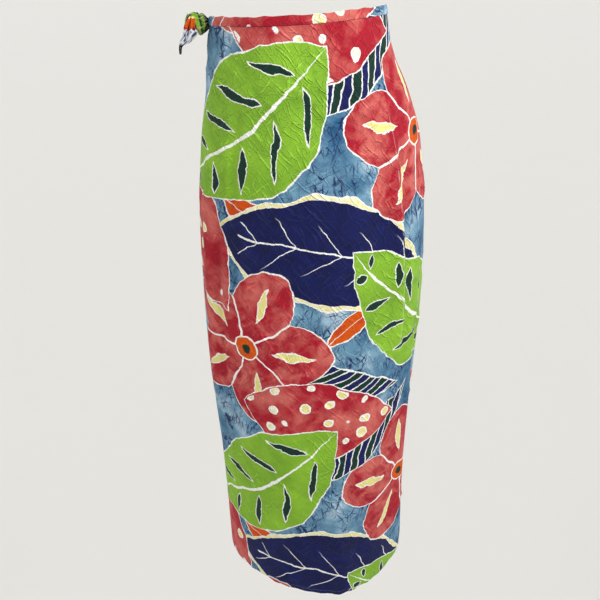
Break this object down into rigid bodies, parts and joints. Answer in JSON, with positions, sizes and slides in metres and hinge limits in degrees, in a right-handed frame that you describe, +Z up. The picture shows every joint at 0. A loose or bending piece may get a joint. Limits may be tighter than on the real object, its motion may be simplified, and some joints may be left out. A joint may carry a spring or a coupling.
{
  "type": "wrap skirt",
  "caption": "Long wrap skirt of one hemmed rectangle of printed cloth, wound round the body as a hollow tube and tied at the hip by its own corners.",
  "frame": {"origin": "middle of the waist opening, where the wearer's waist holds the skirt", "axes": "+Z up along the wearer, -Y towards the front, +X towards the wearer's left"},
  "size_m": [0.3593, 0.322, 0.949],
  "materials": {
    "batik_cloth": "soft crinkled rayon with a wax-resist print in lime, red, navy, orange and pale yellow on crackled light blue, matt with a faint sheen",
    "knot_cloth": "the same rayon, bunched and tied, lime green with orange and grey-blue ends"
  },
  "bodies": {
    "root": {"front_wrap": "batik_cloth", "back_wrap": "batik_cloth", "under_wrap": "batik_cloth", "waist_hem_front": "batik_cloth", "waist_hem_back": "batik_cloth", "bottom_hem_front": "batik_cloth", "bottom_hem_back": "batik_cloth", "side_hem": "batik_cloth", "knot": "knot_cloth", "knot_band": "knot_cloth", "tie_end_front": "knot_cloth", "tie_end_back": "knot_cloth"}
  },
  "joints": []
}
